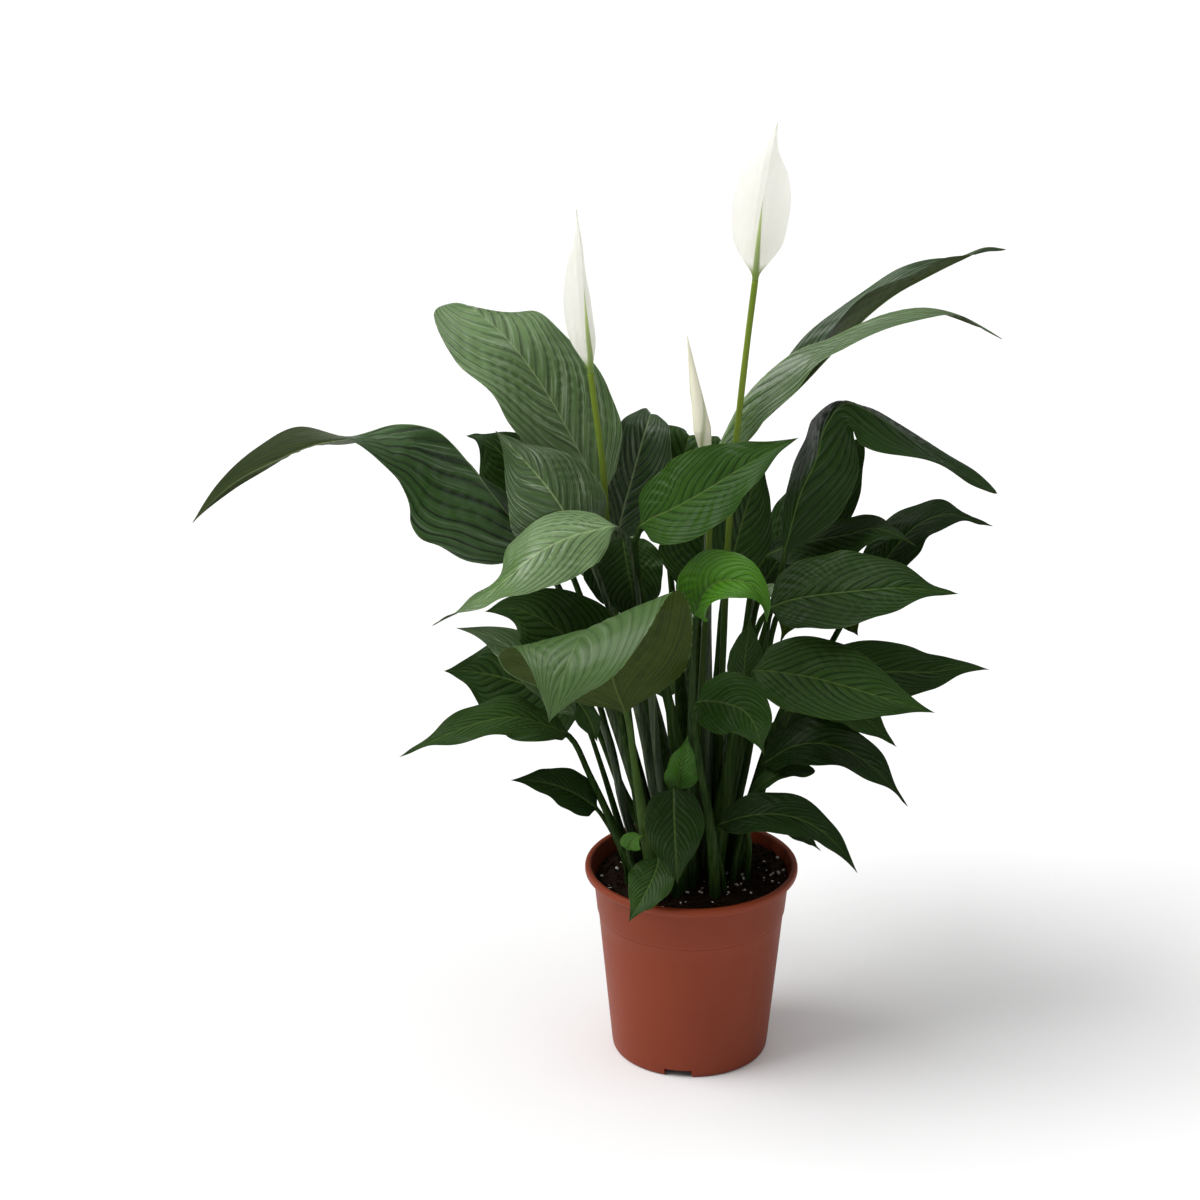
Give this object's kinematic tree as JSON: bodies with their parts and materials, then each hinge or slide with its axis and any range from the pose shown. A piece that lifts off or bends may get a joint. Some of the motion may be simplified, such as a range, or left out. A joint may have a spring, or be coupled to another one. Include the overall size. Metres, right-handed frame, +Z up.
{
  "type": "potted peace lily",
  "caption": "Potted peace lily with arching glossy leaves, white spathes on upright stalks and a rolled bud, in a plain round terracotta-coloured nursery pot with a collared rim.",
  "frame": {"origin": "centre of the flat underside of the pot, on the surface that it stands on", "axes": "+X to the right of the plant seen from its front, +Y to its back, +Z up along the pot's axis"},
  "size_m": [0.626, 0.427, 0.769],
  "materials": {
    "leaf": "satin",
    "young_leaf": "satin",
    "scape": "satin",
    "spathe": "satin",
    "bud": "satin",
    "spadix": "matte",
    "soil": "matte",
    "pot": "satin"
  },
  "bodies": {
    "root": {"leaf_left_1": "leaf", "leaf_left_2": "leaf", "leaf_left_3": "leaf", "leaf_left_4": "leaf", "leaf_left_5": "leaf", "leaf_left_6": "leaf", "leaf_left_7": "leaf", "leaf_left_8": "leaf", "leaf_left_9": "leaf", "leaf_left_10": "leaf", "leaf_left_11": "leaf", "leaf_front_1": "young_leaf", "leaf_front_2": "leaf", "leaf_front_3": "leaf", "leaf_front_4": "young_leaf", "leaf_front_5": "leaf", "leaf_front_6": "young_leaf", "leaf_front_7": "leaf", "leaf_front_8": "young_leaf", "leaf_front_9": "leaf", "leaf_front_10": "leaf", "leaf_right_1": "leaf", "leaf_right_2": "leaf", "leaf_right_3": "leaf", "leaf_right_4": "leaf", "leaf_right_5": "leaf", "leaf_right_6": "leaf", "leaf_right_7": "leaf", "leaf_right_8": "leaf", "leaf_right_9": "leaf", "leaf_right_10": "leaf", "leaf_right_11": "leaf", "leaf_right_12": "leaf", "leaf_right_13": "leaf", "leaf_right_14": "leaf", "leaf_right_15": "leaf", "leaf_right_16": "leaf", "leaf_right_17": "leaf", "leaf_back_1": "leaf", "leaf_back_2": "leaf", "leaf_back_3": "leaf", "leaf_back_4": "leaf", "leaf_back_5": "leaf", "leaf_back_6": "leaf", "leaf_back_7": "leaf", "leaf_back_8": "leaf", "leaf_back_9": "leaf", "leaf_back_10": "leaf", "scape_1": "scape", "scape_2": "scape", "scape_3": "scape", "spathe_1": "spathe", "spathe_2": "spathe", "spathe_bud": "bud", "spadix_1": "spadix", "spadix_2": "spadix", "soil": "soil", "pot": "pot"}
  },
  "joints": []
}
